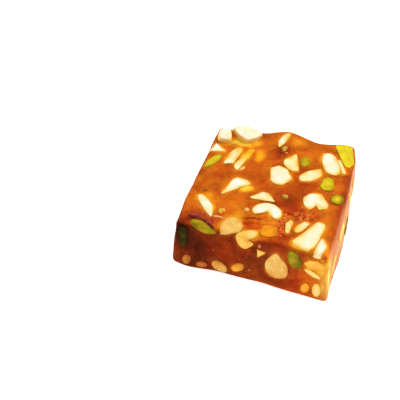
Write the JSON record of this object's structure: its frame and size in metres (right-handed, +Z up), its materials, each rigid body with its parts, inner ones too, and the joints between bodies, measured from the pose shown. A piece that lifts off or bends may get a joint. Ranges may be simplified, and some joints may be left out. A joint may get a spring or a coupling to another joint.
{
  "type": "dry fruit halwa square",
  "caption": "Hand-cut square of set amber halwa with chopped cashews, almonds and pistachios sliced flush in its faces; rests on its flat foot.",
  "frame": {"origin": "middle of the bounding box, on the surface that the square rests on", "axes": "+Z up, +X to the right along the front cut face, +Y to the back along the longer side"},
  "size_m": [0.0644, 0.07, 0.0251],
  "materials": {
    "halwa": "amber set jelly, translucent, moist and smooth where the knife went",
    "cashew": "pale cream nut, sliced, matt with a faint oily sheen",
    "almond": "tan nut, sliced, matt",
    "pistachio": "yellow-green nut, sliced, with some reddish skin"
  },
  "bodies": {
    "root": {"halwa": "halwa", "cashew_round": "cashew", "cashew_long": "cashew", "cashew_triangle": "cashew", "pistachio_sliver": "pistachio", "cashew_slice": "cashew", "cashew_strip": "cashew", "cashew_stick": "cashew", "cashew_horned": "cashew", "cashew_lump": "cashew", "cashew_boat": "cashew", "cashew_oval": "cashew", "cashew_flake": "cashew", "pistachio_corner": "pistachio", "pistachio_block": "pistachio", "pistachio_ring": "pistachio", "pistachio_bean": "pistachio", "cashew_wing": "cashew", "cashew_half_moon": "cashew", "cashew_crescent": "cashew", "cashew_kidney": "cashew", "cashew_leaf": "cashew", "cashew_chip": "cashew", "cashew_petal": "cashew", "cashew_big": "cashew", "cashew_cap": "cashew", "pistachio_long": "pistachio", "almond_block": "almond", "cashew_hook": "cashew", "cashew_gold": "cashew", "almond_drop": "almond", "pistachio_stub": "pistachio", "cashew_pair": "cashew", "cashew_splinter": "cashew", "cashew_tooth": "cashew", "cashew_nib": "cashew", "cashew_foot_left": "cashew", "cashew_foot_low": "cashew", "almond_foot": "almond", "cashew_foot_right": "cashew", "pistachio_upright": "pistachio", "cashew_right_front": "cashew", "cashew_right_curl": "cashew", "pistachio_right": "pistachio", "cashew_right_half": "cashew", "almond_right": "almond", "cashew_back_curl": "cashew", "pistachio_back": "pistachio", "almond_back": "almond", "cashew_back_half": "cashew", "pistachio_back_high": "pistachio", "cashew_back_wedge": "cashew", "cashew_left_curl": "cashew", "pistachio_left": "pistachio", "cashew_left_half": "cashew", "cashew_left_drop": "cashew", "almond_left": "almond"}
  },
  "joints": []
}
